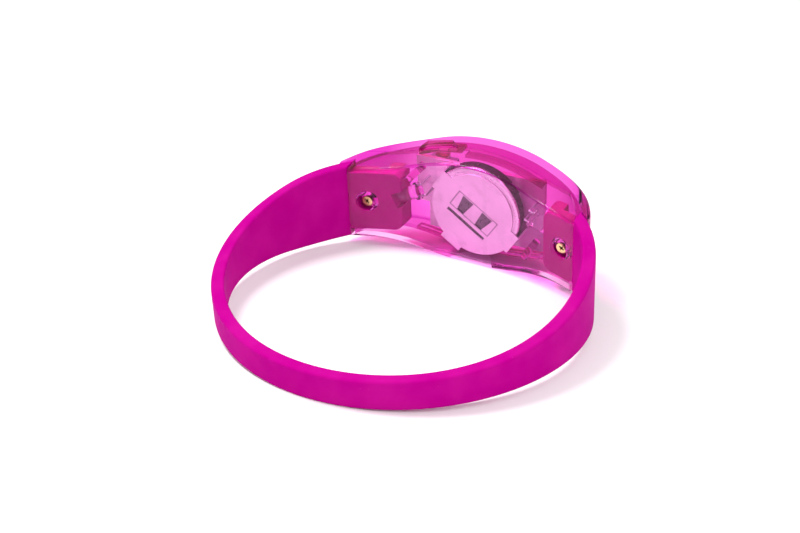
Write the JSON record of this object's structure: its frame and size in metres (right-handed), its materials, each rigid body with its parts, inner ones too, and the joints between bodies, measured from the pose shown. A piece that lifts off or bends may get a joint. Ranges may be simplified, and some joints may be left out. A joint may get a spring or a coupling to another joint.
{
  "type": "light-up silicone wristband",
  "caption": "Closed silicone wristband that narrows at the back, clamped in a clear curved housing with a coin cell, light emitters and a side push button.",
  "frame": {"origin": "centre of the round wrist opening, at the middle of the band's height", "axes": "+Z along the wrist axis, -Y out through the housing's front cover, +Y to the back of the strap, +X towards the button's end of the housing"},
  "size_m": [0.0732, 0.0766, 0.025],
  "materials": {
    "silicone": "satin moulded silicone",
    "clear_magenta": "polished clear tinted plastic",
    "brass": "bright plated screw",
    "board": "white solder resist",
    "spring_steel": "bright stamped sheet",
    "cell_steel": "nickel-plated steel",
    "gasket": "moulded seal",
    "contact_bronze": "plated spring bronze",
    "clear_epoxy": "clear cast epoxy",
    "tinned_wire": "tinned",
    "black_plastic": "moulded",
    "white_plastic": "moulded",
    "black_epoxy": "cured potting blob",
    "ceramic": "fired ceramic",
    "solder": "bright solder"
  },
  "bodies": {
    "housing": {"silicone_band": "silicone", "rear_cover": "clear_magenta", "front_cover": "clear_magenta", "cover_screws": "brass", "circuit_board": "board", "battery_clip": "spring_steel", "cell_can": "cell_steel", "cell_gasket": "gasket", "cell_cap": "cell_steel", "negative_contact": "contact_bronze", "left_led_bulb": "clear_epoxy", "left_led_leads": "tinned_wire", "right_led_bulb": "clear_epoxy", "right_led_leads": "tinned_wire", "switch_body": "black_plastic", "switch_cover": "spring_steel", "switch_terminals": "tinned_wire", "controller_chip": "black_epoxy", "chip_resistors": "black_plastic", "chip_capacitor": "ceramic", "solder_joints": "solder"},
    "button": {"power_button": "clear_magenta"},
    "plunger": {"switch_plunger": "white_plastic"}
  },
  "joints": [
    {"name": "button_press", "type": "slide", "parent": "housing", "child": "button", "axis": [0, 0, -1], "range_m": [0, 0.00025], "stiffness_N_per_m": 2000},
    {"name": "plunger_press", "type": "slide", "parent": "housing", "child": "plunger", "axis": [0, 0, -1], "range_m": [0, 0.00025]}
  ],
  "couplings": [
    {"joint": "plunger_press", "follows": "button_press", "ratio": 1}
  ]
}
